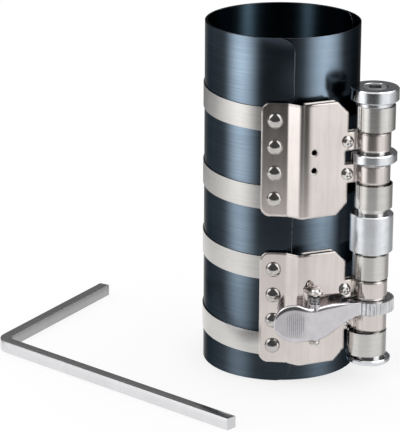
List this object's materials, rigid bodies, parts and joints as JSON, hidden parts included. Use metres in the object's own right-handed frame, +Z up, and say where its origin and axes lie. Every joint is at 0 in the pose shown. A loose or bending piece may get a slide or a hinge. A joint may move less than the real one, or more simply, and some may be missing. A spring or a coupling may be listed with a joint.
{
  "type": "piston ring compressor",
  "caption": "Rolled steel sleeve with bands, folded clamp plates and a ratchet spindle that closes it round piston rings, with thumb release and loose square key.",
  "frame": {"origin": "sleeve axis at the plane of its lower rim", "axes": "+Z up along the sleeve axis towards the drive end, -Y towards the side with the clamp plates, +X towards the spindle"},
  "size_m": [0.1704, 0.1662, 0.15],
  "materials": {
    "blued_sheet": "dark blued, fine brushing round the sleeve",
    "band_steel": "satin",
    "plated_sheet": "nickel plated",
    "bright_steel": "bright plated",
    "dark_steel": "dark machined",
    "satin_zinc": "satin",
    "lever_casting": "satin casting"
  },
  "bodies": {
    "clamp": {"sleeve": "blued_sheet", "band_one": "band_steel", "band_two": "band_steel", "band_three": "band_steel", "band_four": "band_steel", "upper_plate": "plated_sheet", "lower_plate": "plated_sheet", "upper_rivets": "plated_sheet", "lower_rivets": "plated_sheet", "upper_screws": "bright_steel", "lower_screws": "bright_steel", "upper_nuts": "bright_steel", "lower_nuts": "bright_steel", "pawl_bracket": "plated_sheet", "bracket_rivets": "plated_sheet", "pawl_pin": "bright_steel"},
    "spindle": {"spindle_shaft": "bright_steel", "drive_plug": "dark_steel", "top_cap": "bright_steel", "foot_cap": "bright_steel", "guide_ring": "bright_steel", "ratchet_gear": "satin_zinc", "spacer_sleeve": "satin_zinc", "coil_one": "band_steel", "coil_two": "band_steel", "coil_three": "band_steel", "coil_four": "band_steel"},
    "pawl": {"pawl_lever": "lever_casting", "pawl_spring": "dark_steel"},
    "key": {"square_key": "bright_steel"}
  },
  "joints": [
    {"name": "spindle_turn", "type": "hinge", "parent": "clamp", "child": "spindle", "pos_m": [0.03769, -0.02648, 0.068], "axis": [0, 0, 1], "continuous": true},
    {"name": "pawl_release", "type": "hinge", "parent": "clamp", "child": "pawl", "pos_m": [0.0139, -0.04167, 0.034], "axis": [0, 0, -1], "range_deg": [0, 12], "stiffness_Nm_per_rad": 0.04, "springref_deg": -20.05},
    {"name": "key_lift", "type": "slide", "parent": "clamp", "child": "key", "axis": [0, 0, 1], "range_m": [0, 0.06]}
  ]
}
